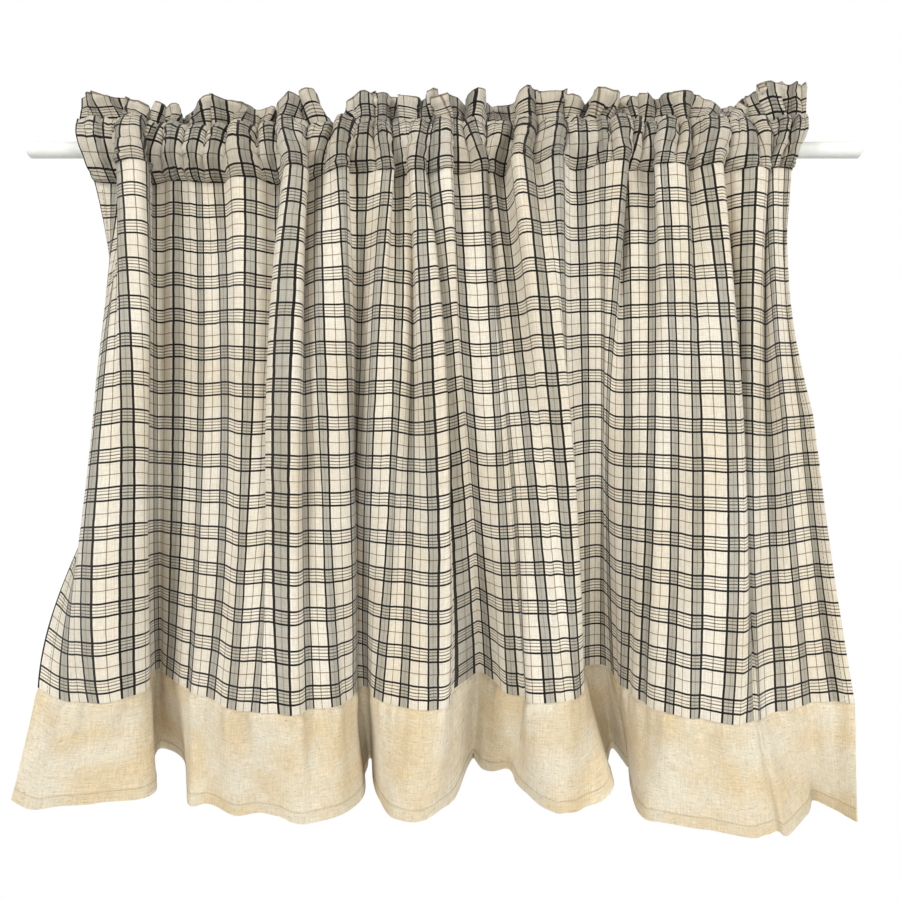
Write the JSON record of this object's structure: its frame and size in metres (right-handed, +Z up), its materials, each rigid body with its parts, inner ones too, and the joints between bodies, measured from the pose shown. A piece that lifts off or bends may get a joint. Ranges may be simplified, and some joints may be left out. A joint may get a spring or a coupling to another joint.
{
  "type": "half curtain on rod",
  "caption": "Half-height cafe curtain of checked cotton gathered on a thin round rod, with a standing heading and a plain linen frill along its lower edge.",
  "frame": {"origin": "middle of the rod's axis", "axes": "+X along the rod, +Y from the curtain's front to its back, +Z up"},
  "size_m": [0.71, 0.1234, 0.61],
  "materials": {
    "rod_white": "smooth off-white enamel, a little glossy",
    "checked_cotton": "plain-weave cotton, cream ground with a check of paired dark lines filled with grey-green and single fawn lines",
    "linen": "soft unbleached linen with slubs"
  },
  "bodies": {
    "root": {"rod": "rod_white", "panel": "checked_cotton", "frill": "linen"}
  },
  "joints": []
}
